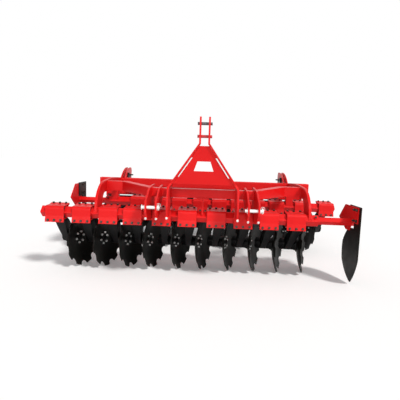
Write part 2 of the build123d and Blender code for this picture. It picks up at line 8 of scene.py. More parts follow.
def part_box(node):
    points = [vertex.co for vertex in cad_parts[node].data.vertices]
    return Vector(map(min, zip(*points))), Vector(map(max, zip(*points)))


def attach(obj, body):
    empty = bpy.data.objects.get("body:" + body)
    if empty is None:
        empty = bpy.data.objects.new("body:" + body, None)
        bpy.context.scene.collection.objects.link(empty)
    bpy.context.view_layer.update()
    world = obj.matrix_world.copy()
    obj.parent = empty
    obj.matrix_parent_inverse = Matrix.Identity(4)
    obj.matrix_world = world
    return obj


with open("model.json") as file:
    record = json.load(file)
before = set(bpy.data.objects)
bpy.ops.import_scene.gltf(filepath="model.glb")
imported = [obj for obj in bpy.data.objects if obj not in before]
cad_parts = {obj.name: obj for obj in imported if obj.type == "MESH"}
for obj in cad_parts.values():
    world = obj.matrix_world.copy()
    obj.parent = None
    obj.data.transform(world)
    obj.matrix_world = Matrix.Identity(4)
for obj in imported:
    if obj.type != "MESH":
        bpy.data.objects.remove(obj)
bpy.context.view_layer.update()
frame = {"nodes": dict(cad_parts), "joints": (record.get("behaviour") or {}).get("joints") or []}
nodes = frame["nodes"]
joints = {joint["name"]: joint for joint in frame["joints"]}
scene = bpy.context.scene
scene.view_settings.view_transform = "Standard"

# Camera at the photograph's place: a little above the tower's middle, turned and rolled slightly
PITCH = math.radians(6.51)
YAW = math.radians(-0.807)
ROLL = math.radians(1.98)
CAMERA_AT = (0.022, -4.323, 1.135)
SENSOR_MM = 36
FOCAL_LENGTH_PX = 368.76
IMAGE_WIDTH_PX = 400
forward = Vector((math.sin(YAW) * math.cos(PITCH), math.cos(YAW) * math.cos(PITCH), -math.sin(PITCH)))
level = Vector((math.cos(YAW), -math.sin(YAW), 0))
plumb = forward.cross(level)
right = math.cos(ROLL) * level - math.sin(ROLL) * plumb
down = math.sin(ROLL) * level + math.cos(ROLL) * plumb
facing = Matrix((right, -down, -forward)).transposed().to_4x4()
camera = bpy.data.objects.new("camera", bpy.data.cameras.new("camera"))
camera.data.lens = SENSOR_MM * FOCAL_LENGTH_PX / IMAGE_WIDTH_PX
camera.data.sensor_width = SENSOR_MM
camera.data.clip_end = 200
camera.matrix_world = Matrix.Translation(CAMERA_AT) @ facing
scene.collection.objects.link(camera)
scene.camera = camera


# Material helpers
def new_material(name):
    material = bpy.data.materials.new(name)
    material.use_nodes = True
    tree = material.node_tree
    return material, tree, tree.nodes["Principled BSDF"]


def noise(tree, scale, detail=3, rough=0.5):
    coordinates = tree.nodes.new("ShaderNodeTexCoord")
    texture = tree.nodes.new("ShaderNodeTexNoise")
    texture.inputs["Scale"].default_value = scale
    texture.inputs["Detail"].default_value = detail
    texture.inputs["Roughness"].default_value = rough
    tree.links.new(coordinates.outputs["Object"], texture.inputs["Vector"])
    return texture.outputs["Fac"]


def remap(tree, value, low, high, to_low, to_high):
    node = tree.nodes.new("ShaderNodeMapRange")
    for name, number in (("From Min", low), ("From Max", high), ("To Min", to_low), ("To Max", to_high)):
        node.inputs[name].default_value = number
    tree.links.new(value, node.inputs["Value"])
    return node.outputs["Result"]


def combine(tree, operation, first, second):
    node = tree.nodes.new("ShaderNodeMath")
    node.operation = operation
    tree.links.new(first, node.inputs[0])
    tree.links.new(second, node.inputs[1])
    return node.outputs["Value"]


def mix_colour(tree, factor, dark, light):
    node = tree.nodes.new("ShaderNodeMix")
    node.data_type = "RGBA"
    node.inputs["A"].default_value = (*dark, 1)
    node.inputs["B"].default_value = (*light, 1)
    tree.links.new(factor, node.inputs["Factor"])
    return node.outputs["Result"]


def cover_colour(tree, factor, under, over):
    """The colour over, laid on the colour that the socket under gives."""
    node = tree.nodes.new("ShaderNodeMix")
    node.data_type = "RGBA"
    node.inputs["B"].default_value = (*over, 1)
    tree.links.new(under, node.inputs["A"])
    tree.links.new(factor, node.inputs["Factor"])
    return node.outputs["Result"]


def rounded_normal(tree, radius):
    node = tree.nodes.new("ShaderNodeBevel")
    node.inputs["Radius"].default_value = radius
    return node.outputs["Normal"]


def bump(tree, shader, height, strength, distance, edge=0.0):
    """A fine relief; edge is the radius that sharp edges seem to have."""
    node = tree.nodes.new("ShaderNodeBump")
    if edge:
        tree.links.new(rounded_normal(tree, edge), node.inputs["Normal"])
    node.inputs["Strength"].default_value = strength
    node.inputs["Distance"].default_value = distance
    tree.links.new(height, node.inputs["Height"])
    tree.links.new(node.outputs["Normal"], shader.inputs["Normal"])


def painted_edge_highlight_mask(tree, radius):
    """1 on the sharp edges, in patches that a noise gives, else 0: where the painted highlight goes."""
    geometry = tree.nodes.new("ShaderNodeNewGeometry")
    agreement = tree.nodes.new("ShaderNodeVectorMath")
    agreement.operation = "DOT_PRODUCT"
    tree.links.new(rounded_normal(tree, radius), agreement.inputs[0])
    tree.links.new(geometry.outputs["Normal"], agreement.inputs[1])
    edge = remap(tree, agreement.outputs["Value"], 0.97, 0.80, 0, 1)
    highlight_patches = remap(tree, noise(tree, 22, 5, 0.65), 0.45, 0.62, 0.15, 1)
    return combine(tree, "MULTIPLY", edge, highlight_patches)


# Materials
# Width of the sharp edges that take the painted highlight
EDGE_HIGHLIGHT_WIDTH = 0.004
PAINT_EDGE = 0.003
PEEL_DEPTH = 0.0006


def paint(name, dark, light, edge_highlight, rough, coat, specular):
    """Sprayed enamel: slight shade changes, uneven gloss, orange peel, a painted highlight in a lighter
    colour along the sharp edges, and softly rounded edges.
    """
    material, tree, shader = new_material(name)
    full = mix_colour(tree, noise(tree, 3.5), dark, light)
    # The sharp edges take the lighter edge colour in patches: a painted highlight
    edge_highlighted_colour = cover_colour(tree, painted_edge_highlight_mask(tree, EDGE_HIGHLIGHT_WIDTH), full, edge_highlight)
    gloss = remap(tree, noise(tree, 9, 4), 0.3, 0.7, rough - 0.06, rough + 0.08)
    tree.links.new(edge_highlighted_colour, shader.inputs["Base Color"])
    tree.links.new(gloss, shader.inputs["Roughness"])
    shader.inputs["Specular IOR Level"].default_value = specular
    shader.inputs["Coat Weight"].default_value = coat
    shader.inputs["Coat Roughness"].default_value = 0.12
    bump(tree, shader, noise(tree, 420, 2), 0.10, PEEL_DEPTH, PAINT_EDGE)
    return material


def metal(name, dark, light, smooth, rough, metallic=1.0):
    material, tree, shader = new_material(name)
    tree.links.new(mix_colour(tree, noise(tree, 60, 4), dark, light), shader.inputs["Base Color"])
    tree.links.new(remap(tree, noise(tree, 40, 4), 0.3, 0.7, smooth, rough), shader.inputs["Roughness"])
    shader.inputs["Metallic"].default_value = metallic
    bump(tree, shader, noise(tree, 900, 3), 0.15, 0.0003)
    return material


def moulded_rubber():
    material, tree, shader = new_material("rubber")
    colour = mix_colour(tree, noise(tree, 30, 4), (0.012, 0.012, 0.012), (0.022, 0.022, 0.022))
    tree.links.new(colour, shader.inputs["Base Color"])
    tree.links.new(remap(tree, noise(tree, 80, 4), 0.3, 0.7, 0.55, 0.72), shader.inputs["Roughness"])
    bump(tree, shader, noise(tree, 300, 4), 0.3, 0.001)
    return material


def clevis_pin_finish():
    """The lower top link pin is painted with the mast, and the upper one is bare steel."""
    split_low = 1.360
    split_high = 1.362
    material, tree, shader = new_material("clevis_pins")
    place = tree.nodes.new("ShaderNodeTexCoord")
    axes = tree.nodes.new("ShaderNodeSeparateXYZ")
    tree.links.new(place.outputs["Object"], axes.inputs["Vector"])
    upper = remap(tree, axes.outputs["Z"], split_low, split_high, 0, 1)
    colour = mix_colour(tree, upper, (0.50, 0.006, 0.010), (0.09, 0.07, 0.075))
    tree.links.new(colour, shader.inputs["Base Color"])
    tree.links.new(remap(tree, noise(tree, 50, 3), 0.3, 0.7, 0.30, 0.46), shader.inputs["Roughness"])
    bump(tree, shader, noise(tree, 500, 3), 0.12, 0.0004)
    return material


# Each paint's edge colour, lighter than the paint, is a painted highlight on its sharp edges
red = paint(
    "red_enamel", (0.62, 0.004, 0.005), (0.76, 0.009, 0.009),
    edge_highlight=(0.84, 0.060, 0.045), rough=0.40, coat=0.04, specular=0.18)
black = paint(
    "black_enamel", (0.0018, 0.0018, 0.0020), (0.0045, 0.0045, 0.0048),
    edge_highlight=(0.060, 0.058, 0.054), rough=0.40, coat=0.02, specular=0.10)
blade_black = paint(
    "blade_enamel", (0.0022, 0.0022, 0.0018), (0.0075, 0.0072, 0.0058),
    edge_highlight=(0.090, 0.086, 0.078), rough=0.42, coat=0.02, specular=0.12)
bright_zinc = metal("bright_zinc", (0.78, 0.78, 0.76), (0.92, 0.92, 0.90), 0.28, 0.45, 0.6)
dark_steel = metal("dark_steel", (0.045, 0.030, 0.026), (0.100, 0.075, 0.065), 0.34, 0.52)
rubber = moulded_rubber()
pin_steel = clevis_pin_finish()


def finish_for(node):
    if "rubbers" in node:
        return rubber
    if node == "top_link_pins":
        return pin_steel
    if "pin" in node:
        return bright_zinc
    if "disc_" in node or "blade" in node:
        return blade_black
    if node in ("front_arms", "rear_arms", "roller"):
        return black
    return red


for name in nodes:
    mesh = nodes[name].data
    mesh.materials.clear()
    mesh.materials.append(finish_for(name))

# Sizes in metres, and places read from the frame: the discs' joints give each housing's place
DISC_SIDE = 0.110
DISC_TRAIL = 0.302
BEAM_Z = 0.585
PLATE_THICK = 0.015
OUTER_PLATE_X = 0.480
INNER_PLATE_X = 0.392
TOWER_FOOT_X = 0.305
ALL_PLATES_X = (-OUTER_PLATE_X, -INNER_PLATE_X, -TOWER_FOOT_X, TOWER_FOOT_X, INNER_PLATE_X, OUTER_PLATE_X)
SIDES = ((-1, "left"), (1, "right"))


def hub_places(row):
    found = []
    for k in range(1, 11):
        joint = joints[f"{row}_disc_{k}_turn"]
        found.append((f"{row}_disc_{k}", Vector(joint["pos_m"]), Vector(joint["axis"])))
    return found


rows = {"front": (hub_places("front"), 1), "rear": (hub_places("rear"), -1)}
FRONT_Y = rows["front"][0][0][1].y - DISC_TRAIL
REAR_Y = rows["rear"][0][0][1].y - DISC_TRAIL


# Mesh helpers: every piece is one bmesh filled with solids, in metres in the frame of the machine
def shift(x, y, z):
    return Matrix.Translation((x, y, z))


def spin(degrees):
    return Matrix.Rotation(math.radians(degrees), 4, "Z")


def matrix_to(place, direction, turn=0.0):
    """A frame at the place whose Z axis runs along the direction."""
    aim = Vector(direction).normalized().to_track_quat("Z", "Y").to_matrix().to_4x4()
    return Matrix.Translation(place) @ aim @ Matrix.Rotation(turn, 4, "Z")


def ring_of(bm, matrix, radius, height, sides):
    """Vertices on a circle round the matrix's Z axis, or one vertex where the radius is 0."""
    if radius < 1e-6:
        return [bm.verts.new(matrix @ Vector((0, 0, height)))]
    ring = []
    for k in range(sides):
        angle = 2 * math.pi * k / sides
        place = Vector((radius * math.cos(angle), radius * math.sin(angle), height))
        ring.append(bm.verts.new(matrix @ place))
    return ring


def lathe(bm, matrix, profile, sides=24):
    """Turns (radius, height) points round the matrix's Z axis.

    A radius of 0 closes an end. An outline open at both ends becomes a ring, and one open end gets a cap.
    """
    rings = [ring_of(bm, matrix, radius, height, sides) for radius, height in profile]
    spans = list(zip(rings, rings[1:]))
    first_open = len(rings[0]) > 1
    last_open = len(rings[-1]) > 1
    if first_open and last_open:
        spans.append((rings[-1], rings[0]))
    elif first_open:
        bm.faces.new(rings[0])
    elif last_open:
        bm.faces.new(rings[-1])
    for low, high in spans:
        for k in range(sides):
            n = (k + 1) % sides
            if len(low) == 1:
                bm.faces.new((low[0], high[n], high[k]))
            elif len(high) == 1:
                bm.faces.new((low[k], low[n], high[0]))
            else:
                bm.faces.new((low[k], low[n], high[n], high[k]))


def hexagon(bm, matrix, across, height, chamfer=0.0012):
    """A bolt head or nut with chamfered corners, standing on the matrix's XY plane."""
    corner = across / math.sqrt(3)
    top = corner - 1.4 * chamfer
    lathe(bm, matrix, [(0, 0), (corner, 0), (corner, height - chamfer), (top, height), (0, height)], 6)


def washer(bm, matrix, radius, height):
    lathe(bm, matrix, [(0, 0), (radius, 0), (radius, height * 0.8), (radius - 0.0006, height), (0, height)])


def bolt(bm, place, direction, across, turn=0.0, washer_radius=0.0, stub=0.0):
    """A hex head on its washer; stub adds the thread end that shows past a nut."""
    washer_height = 0.0028 if washer_radius else 0.0
    head_height = across * 0.62
    thread = across * 0.31
    thread_tip = across * 0.26
    seat = matrix_to(place, direction, turn)
    if washer_radius:
        washer(bm, seat, washer_radius, washer_height)
    head = seat @ shift(0, 0, washer_height)
    hexagon(bm, head, across, head_height)
    if stub:
        end = head @ shift(0, 0, head_height)
        lathe(bm, end, [(thread, 0), (thread, stub - 0.001), (thread_tip, stub), (0, stub)], 12)


def block(bm, matrix, size, bevel):
    """A box centred on the matrix, with chamfered edges."""
    made = bmesh.ops.create_cube(bm, size=1, matrix=matrix @ Matrix.Diagonal((*size, 1)))
    edges = {edge for vert in made["verts"] for edge in vert.link_edges}
    bmesh.ops.bevel(bm, geom=list(edges), offset=bevel, segments=2, affect="EDGES", profile=0.5)


def prism(bm, matrix, outline, height):
    """A plate with that outline in the matrix's XY plane."""
    low = [bm.verts.new(matrix @ Vector((x, y, 0))) for x, y in outline]
    high = [bm.verts.new(matrix @ Vector((x, y, height))) for x, y in outline]
    bm.faces.new(list(reversed(low)))
    bm.faces.new(high)
    for k in range(len(outline)):
        n = (k + 1) % len(outline)
        bm.faces.new((low[k], low[n], high[n], high[k]))


def tube_along(bm, points, radius, sides=8, closed=False, wobble=0.0):
    """A round bar or weld bead through the points; wobble varies its radius from ring to ring."""
    count = len(points)
    rings = []
    for k, point in enumerate(points):
        before = points[(k - 1) % count] if closed or k else point
        after = points[(k + 1) % count] if closed or k < count - 1 else point
        along = (after - before).normalized()
        if rings:
            side = (side - along * side.dot(along)).normalized()
        else:
            side = along.orthogonal().normalized()
        up = along.cross(side)
        size = radius * (1 + wobble * math.sin(k * 2.4))
        ring = []
        for j in range(sides):
            angle = 2 * math.pi * j / sides
            ring.append(bm.verts.new(point + size * (math.cos(angle) * side + math.sin(angle) * up)))
        rings.append(ring)
    spans = list(zip(rings, rings[1:]))
    if closed:
        spans.append((rings[-1], rings[0]))
    for low, high in spans:
        for j in range(sides):
            n = (j + 1) % sides
            bm.faces.new((low[j], low[n], high[n], high[j]))
    if not closed:
        bm.faces.new(list(reversed(rings[0])))
        bm.faces.new(rings[-1])


def weld(bm, start, end, radius=0.004):
    """A bead with ripples along a straight seam."""
    ripple = 0.007
    start = Vector(start)
    end = Vector(end)
    steps = max(2, int((end - start).length / ripple))
    tube_along(bm, [start.lerp(end, k / steps) for k in range(steps + 1)], radius, 6, wobble=0.18)


def weld_round_tube(bm, x, y, reach, radius, upper=True):
    """A bead round a square tube that stands on its edge; without upper, on its lower two sides only."""
    corners = [(reach, 0), (0, reach), (-reach, 0), (0, -reach)]
    for (ya, za), (yb, zb) in zip(corners, corners[1:] + corners[:1]):
        if upper or za + zb < 0:
            weld(bm, (x, y + ya, BEAM_Z + za), (x, y + yb, BEAM_Z + zb), radius)


def finish_piece(bm, name, material, body_name):
    bmesh.ops.recalc_face_normals(bm, faces=bm.faces)
    mesh = bpy.data.meshes.new(name)
    bm.to_mesh(mesh)
    bm.free()
    mesh.materials.append(material)
    mesh.shade_smooth()
    mesh.set_sharp_from_angle(angle=math.radians(35))
    piece = bpy.data.objects.new(name, mesh)
    scene.collection.objects.link(piece)
    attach(piece, body_name)


# Housing bolts: three through each pair of ears, low in front and high at the back
EAR_SPLAY = math.radians(12)
SHELL_REACH = 0.060
EAR_START = 0.031
EAR_BOLT_AT = 0.042
EAR_BOLT_PITCH = 0.060
EAR_OUTER_FACE = 0.0030
EAR_INNER_FACE = 0.0112
EAR_BOLT = 0.0165
EAR_WASHER = 0.0120
ear_down = Vector((0, -math.sin(EAR_SPLAY), -math.cos(EAR_SPLAY)))
ear_out = Vector((0, -math.cos(EAR_SPLAY), math.sin(EAR_SPLAY)))
ear_back = Vector((0, math.cos(EAR_SPLAY), math.sin(EAR_SPLAY)))
ear_up = Vector((0, -math.sin(EAR_SPLAY), math.cos(EAR_SPLAY)))
for row, (hubs, side) in rows.items():
    bm = bmesh.new()
    for number, (name, hub, axis) in enumerate(hubs):
        for k in (-1, 0, 1):
            x = hub.x - side * DISC_SIDE + k * EAR_BOLT_PITCH
            y = hub.y - DISC_TRAIL
            turn = 0.5 * k + 0.9 * number
            low = Vector((x, y - SHELL_REACH, BEAM_Z - EAR_START)) + EAR_BOLT_AT * ear_down
            high = Vector((x, y + EAR_START, BEAM_Z + SHELL_REACH)) + EAR_BOLT_AT * ear_back
            for spot, out in ((low, ear_out), (high, ear_up)):
                bolt(bm, spot + EAR_OUTER_FACE * out, out, EAR_BOLT, turn, EAR_WASHER)
                bolt(bm, spot - EAR_INNER_FACE * out, -out, EAR_BOLT, turn, EAR_WASHER, stub=0.004)
    finish_piece(bm, f"{row}_housing_bolts", dark_steel, "frame")

# Disc flange bolts with bright heads, a cap over the bearing's end and a ring behind the disc
DISC_BOLTS = 6
DISC_BOLT_CIRCLE = 0.056
DISC_FRONT = 0.006
DISC_BACK = 0.012
WASHER_THICK = 0.0025
cap_outline = [(0, 0), (0.034, 0), (0.034, 0.003), (0.030, 0.004), (0.028, 0.011), (0.022, 0.016), (0, 0.018)]
ring_outline = [(0.030, 0), (0.062, 0), (0.066, 0.0003), (0.066, 0.0009), (0.030, 0.0009)]
for row, (hubs, side) in rows.items():
    for name, hub, axis in hubs:
        face = matrix_to(hub + DISC_FRONT * axis, axis)
        bm = bmesh.new()
        for k in range(DISC_BOLTS):
            spot = face @ spin(360 / DISC_BOLTS * k + 14) @ shift(DISC_BOLT_CIRCLE, 0, 0)
            washer(bm, spot, 0.0105, WASHER_THICK)
            hexagon(bm, spot @ shift(0, 0, WASHER_THICK), 0.0165, 0.010)
        finish_piece(bm, f"{name}_bolts", bright_zinc, name)
        bm = bmesh.new()
        lathe(bm, face, cap_outline, 32)
        lathe(bm, matrix_to(hub - DISC_BACK * axis, -axis), ring_outline, 40)
        finish_piece(bm, f"{name}_cap", black, name)

# Rings on each hub, the end plate of each arm's eye with its bolts, and a grease nipple
HUB_START = 0.0135
SECOND_RING = 0.060
EYE_END = 0.173
EYE_BOLTS = 4
EYE_BOLT_CIRCLE = 0.036
EYE_PLATE = 0.0065
NIPPLE_AT = 0.095
NIPPLE_RISE = 0.052
NIPPLE_HEX = 0.006
first_ring_outline = [(0.024, 0.0004), (0.057, 0.0004), (0.059, 0.003), (0.059, 0.016), (0.054, 0.020)]
second_ring_outline = [(0.053, 0), (0.0575, 0.003), (0.0575, 0.011), (0.053, 0.014)]
end_plate_outline = [
    (0, 0), (0.050, 0), (0.050, 0.005), (0.047, EYE_PLATE), (0.020, EYE_PLATE), (0.018, 0.012), (0, 0.013)]
nipple_outline = [(0.003, 0), (0.003, 0.006), (0.0045, 0.009), (0.002, 0.012), (0, 0.012)]
for row, (hubs, side) in rows.items():
    rings = bmesh.new()
    plates = bmesh.new()
    for name, hub, axis in hubs:
        front = matrix_to(hub - HUB_START * axis, -axis)
        lathe(rings, front, first_ring_outline, 40)
        lathe(rings, front @ shift(0, 0, SECOND_RING), second_ring_outline, 40)
        back = matrix_to(hub - EYE_END * axis, -axis)
        lathe(plates, back, end_plate_outline, 40)
        for k in range(EYE_BOLTS):
            spot = back @ spin(360 / EYE_BOLTS * k + 45) @ shift(EYE_BOLT_CIRCLE, 0, EYE_PLATE)
            hexagon(plates, spot, 0.013, 0.007)
        nipple = matrix_to(hub - NIPPLE_AT * axis + Vector((0, 0, NIPPLE_RISE)), (0, 0, 1))
        hexagon(plates, nipple, 0.011, NIPPLE_HEX)
        lathe(plates, nipple @ shift(0, 0, NIPPLE_HEX), nipple_outline, 10)
    finish_piece(rings, f"{row}_hub_rings", black, "frame")
    finish_piece(plates, f"{row}_hub_end_plates", black, "frame")

# Link pins: a washer on the outer side of each plate, and at the right-hand end a linchpin with its ring
LINCHPIN_INSET = 0.009
LINCHPIN_HANG = 0.024
LINCHPIN_NECK = 0.016
RING_WIRE = 0.0018
linchpin_outline = [(0, 0), (0.003, 0), (0.0045, 0.002), (0.0045, 0.050), (0, 0.050)]
linchpin_head_outline = [(0.0045, 0), (0.008, 0.001), (0.008, 0.009), (0, 0.010)]
link_washer_outline = [(0.0145, 0), (0.026, 0), (0.026, 0.003), (0.023, 0.005), (0.0145, 0.005)]
upward = Vector((0, 0, 1))
for side, word in SIDES:
    low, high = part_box(f"lower_link_pin_{word}")
    pin_y = (low.y + high.y) / 2
    pin_z = (low.z + high.z) / 2
    spot = Vector((high.x - LINCHPIN_INSET, pin_y, pin_z))
    bm = bmesh.new()
    lathe(bm, matrix_to(spot - LINCHPIN_HANG * upward, upward), linchpin_outline, 14)
    lathe(bm, matrix_to(spot + LINCHPIN_NECK * upward, upward), linchpin_head_outline, 16)
    ring = []
    for k in range(32):
        angle = 2 * math.pi * k / 32
        rise = math.sin(angle)
        ring.append(spot + Vector((0.019 * math.cos(angle), -0.012 - 0.010 * rise, 0.0215 + 0.017 * rise)))
    tube_along(bm, ring, RING_WIRE, closed=True)
    finish_piece(bm, f"linchpin_{word}", bright_zinc, "frame")
    bm = bmesh.new()
    for face_x, way in ((OUTER_PLATE_X + PLATE_THICK / 2, 1), (INNER_PLATE_X - PLATE_THICK / 2, -1)):
        lathe(bm, matrix_to((side * face_x, pin_y, pin_z), (side * way, 0, 0)), link_washer_outline, 32)
    finish_piece(bm, f"link_pin_washers_{word}", bright_zinc, "frame")

# Bright bolts in small bosses on the front edges of the hitch plates and tower sides, near their lower ends
EDGE_BOLT_Z = 0.612
PLATE_EDGE_Y = FRONT_Y - 0.3365
PLATE_EDGE_FACING = Vector((0, -0.79, -0.61))
TOWER_EDGE_Y = FRONT_Y - 0.3050
TOWER_EDGE_FACING = Vector((0, -0.96, -0.27))
BOSS_SUNK = 0.002
BOSS_FACE = 0.006
boss_outline = [(0, 0), (0.0135, 0), (0.0135, 0.006), (0.0120, 0.008), (0, 0.008)]
bosses = bmesh.new()
edge_bolts = bmesh.new()
for x in ALL_PLATES_X:
    on_tower = abs(x) == TOWER_FOOT_X
    out = TOWER_EDGE_FACING if on_tower else PLATE_EDGE_FACING
    spot = Vector((x, TOWER_EDGE_Y if on_tower else PLATE_EDGE_Y, EDGE_BOLT_Z))
    lathe(bosses, matrix_to(spot - BOSS_SUNK * out, out), boss_outline)
    bolt(edge_bolts, spot + BOSS_FACE * out, out, 0.015, x, 0.0105)
finish_piece(bosses, "hitch_bosses", red, "frame")
finish_piece(edge_bolts, "hitch_edge_bolts", bright_zinc, "frame")

# Centre strut: the flange that holds its head under the middle beam
STRUT_FLANGE = (0.105, 0.060, 0.012)
STRUT_FLANGE_Y = 0.035
STRUT_FLANGE_DROP = 0.0065
middle_low, middle_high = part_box("cross_frame_middle")
strut = bmesh.new()
flange_at = shift(0, middle_low.y + STRUT_FLANGE_Y, middle_low.z - STRUT_FLANGE_DROP)
block(strut, flange_at, STRUT_FLANGE, 0.002)
finish_piece(strut, "strut_flange", red, "frame")

# Closed beam ends: a bead round each cap, and a plug in its middle
CAP_REACH = 0.0525 * 0.98
CAP_BEAD_INSET = 0.007
PLUG_INSET = 0.016
plug_outline = [(0, 0), (0.012, 0), (0.012, 0.0158), (0, 0.0159)]
cap_beads = bmesh.new()
plugs = bmesh.new()
for node, side in (("front_beam", -1), ("rear_beam", 1)):
    low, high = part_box(node)
    y = (low.y + high.y) / 2
    end = low.x if side < 0 else high.x
    weld_round_tube(cap_beads, end - side * CAP_BEAD_INSET, y, CAP_REACH, 0.0035)
    lathe(plugs, matrix_to((end - side * PLUG_INSET, y, BEAM_Z), (side, 0, 0)), plug_outline, 6)
finish_piece(cap_beads, "beam_end_welds", red, "frame")
finish_piece(plugs, "beam_end_plugs", dark_steel, "frame")

# Open beam ends: two bosses with clamp bolts on the upper faces
CLAMP_INSET = 0.030
CLAMP_RISE = 0.040
BOSS_HEIGHT = 0.012
guide_boss_outline = [(0, 0), (0.015, 0), (0.015, 0.010), (0.013, BOSS_HEIGHT), (0, BOSS_HEIGHT)]
guide_bosses = bmesh.new()
clamps = bmesh.new()
for node, side in (("front_beam", 1), ("rear_beam", -1)):
    low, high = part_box(node)
    end = high.x if side > 0 else low.x
    middle = Vector((end - side * CLAMP_INSET, (low.y + high.y) / 2, BEAM_Z))
    for face in (-1, 1):
        out = Vector((0, face, 1)).normalized()
        base = middle + CLAMP_RISE * out
        lathe(guide_bosses, matrix_to(base, out), guide_boss_outline)
        bolt(clamps, base + BOSS_HEIGHT * out, out, 0.017, 0.3)
finish_piece(guide_bosses, "guide_bosses", red, "frame")
finish_piece(clamps, "guide_clamp_bolts", dark_steel, "frame")

# Deflectors: two bolts through each slot, and a bead round the tube at the side plate
SIDE_PLATE = 0.010
SLOT_RISES = (0.128, 0.027)
SLOT_Y = 0.095
SLOT_BOLT_SHIFT = 0.028
LEFT_LIFT = 0.050
SLOT_BOLT = 0.019
SLOT_WASHER = 0.0145
TUBE_REACH = 0.0365
SEAM = 0.001
for side, word in reversed(SIDES):
    on_right = side > 0
    lift = 0.0 if on_right else LEFT_LIFT
    y = FRONT_Y if on_right else REAR_Y
    low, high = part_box(f"deflector_blade_{word}")
    plate_back = low.x - SIDE_PLATE
    bm = bmesh.new()
    for rise in SLOT_RISES:
        for move in (-SLOT_BOLT_SHIFT, SLOT_BOLT_SHIFT):
            spot_y = y + side * (move - SLOT_Y)
            spot_z = BEAM_Z + rise + lift
            bolt(bm, (high.x, spot_y, spot_z), (1, 0, 0), SLOT_BOLT, 0.4, SLOT_WASHER)
            bolt(bm, (plate_back, spot_y, spot_z), (-1, 0, 0), SLOT_BOLT, 0.1, SLOT_WASHER, stub=0.006)
    finish_piece(bm, f"deflector_bolts_{word}", dark_steel, f"deflector_{word}")
    bm = bmesh.new()
    plate_inboard = plate_back if on_right else low.x
    weld_round_tube(bm, plate_inboard - side * SEAM, y, TUBE_REACH, 0.004, upper=on_right)
    finish_piece(bm, f"deflector_weld_{word}", red, f"deflector_{word}")

# Roller: a flanged bearing with four bolts at each end
BEARING_FACE_X = 1.3375
FLANGE_HALF = 0.050
FLANGE_CORNER = 0.060
FLANGE_HEIGHT = 0.010
FLANGE_BOLT_CIRCLE = 0.047
bearing_outline = [
    (0, FLANGE_HEIGHT), (0.042, FLANGE_HEIGHT), (0.040, 0.022), (0.030, 0.026), (0.028, 0.032),
    (0.020, 0.036), (0, 0.037)]
flange_outline = []
for k in range(32):
    angle = 2 * math.pi * k / 32
    flat = FLANGE_HALF / max(abs(math.cos(angle)), abs(math.sin(angle)))
    reach = min(flat, FLANGE_CORNER)
    flange_outline.append((reach * math.cos(angle), reach * math.sin(angle)))
shaft = Vector(joints["roller_turn"]["pos_m"])
bearings = bmesh.new()
bearing_bolts = bmesh.new()
for side in (-1, 1):
    seat = matrix_to((side * BEARING_FACE_X, shaft.y, shaft.z), (side, 0, 0))
    prism(bearings, seat, flange_outline, FLANGE_HEIGHT)
    lathe(bearings, seat, bearing_outline, 36)
    for k in range(4):
        turn = math.radians(45 + 90 * k)
        x = FLANGE_BOLT_CIRCLE * math.cos(turn)
        y = FLANGE_BOLT_CIRCLE * math.sin(turn)
        hexagon(bearing_bolts, seat @ shift(x, y, FLANGE_HEIGHT), 0.015, 0.009)
finish_piece(bearings, "roller_bearings", black, "roller_frame")
finish_piece(bearing_bolts, "roller_bearing_bolts", bright_zinc, "roller_frame")

# Swing brackets: washers on both faces, and inboard a stepped depth stop with its pin
PIN_OVERHANG = 0.008
STOP_THICK = 0.018
STOP_Y = 0.020
STOP_Z = 0.868
swing_washer_outline = [(0.0152, 0), (0.026, 0), (0.026, 0.003), (0.024, 0.004), (0.0152, 0.004)]
stop_outline = [
    (-0.075, 0), (0.085, 0), (0.085, 0.020), (0.045, 0.020), (0.045, 0.038), (0.005, 0.038),
    (0.005, 0.056), (-0.045, 0.056)]
stop_pin_outline = [(0, 0), (0.008, 0), (0.008, 0.050), (0.006, 0.053), (0, 0.053)]
upright = Matrix(((0, 0, 1, 0), (1, 0, 0, 0), (0, 1, 0, 0), (0, 0, 0, 1)))
swing = Vector(joints["roller_height"]["pos_m"])
pivots = bmesh.new()
stops = bmesh.new()
stop_pins = bmesh.new()
for side, word in SIDES:
    low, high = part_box(f"roller_bracket_{word}")
    for pin_end, way in ((low.x, -1), (high.x, 1)):
        seat = matrix_to((pin_end - way * PIN_OVERHANG, swing.y, swing.z), (way, 0, 0))
        lathe(pivots, seat, swing_washer_outline, 28)
    inner_face = (high.x if side < 0 else low.x) + side * PIN_OVERHANG
    place = Vector((inner_face - side * STOP_THICK / 2, swing.y + STOP_Y, STOP_Z))
    stop_side = place - Vector((STOP_THICK / 2, 0, 0))
    prism(stops, Matrix.Translation(stop_side) @ upright, stop_outline, STOP_THICK)
    pin_start = place + Vector((side * 0.012, 0.055, 0.028))
    lathe(stop_pins, matrix_to(pin_start, (-side, 0, 0)), stop_pin_outline, 18)
finish_piece(pivots, "swing_pin_washers", bright_zinc, "frame")
finish_piece(stops, "depth_stops", black, "frame")
finish_piece(stop_pins, "depth_stop_pins", black, "frame")

# Weld beads where the plates and arches meet the beams
PLATE_BEAD = 0.0095
PLATE_TOP_BEAD = 0.060
KINK_X = 0.830
BEAM_SEAM_TOP = 0.0572
ARCH_SEAM_REACH = 0.054
ARCH_SEAM_LOW = 0.004
STRUT_SEAM_REACH = 0.036
STRUT_HEAD_SEAM = (0.016, 0.100)
STRUT_HEAD_Z = 0.7525
FINE_BEAD = 0.003
ends_low, ends_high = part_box("cross_frame_ends")
rear_low, rear_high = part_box("rear_cross_beam")
strut_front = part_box("centre_strut")[0].y
beads = bmesh.new()
beam_front = middle_low.y - SEAM
beam_top = middle_high.z + SEAM
for x in ALL_PLATES_X:
    for face in (-1, 1):
        edge = x + face * PLATE_BEAD
        weld(beads, (edge, beam_front, middle_low.z), (edge, beam_front, middle_high.z))
        weld(beads, (edge, middle_low.y, beam_top), (edge, middle_low.y + PLATE_TOP_BEAD, beam_top))
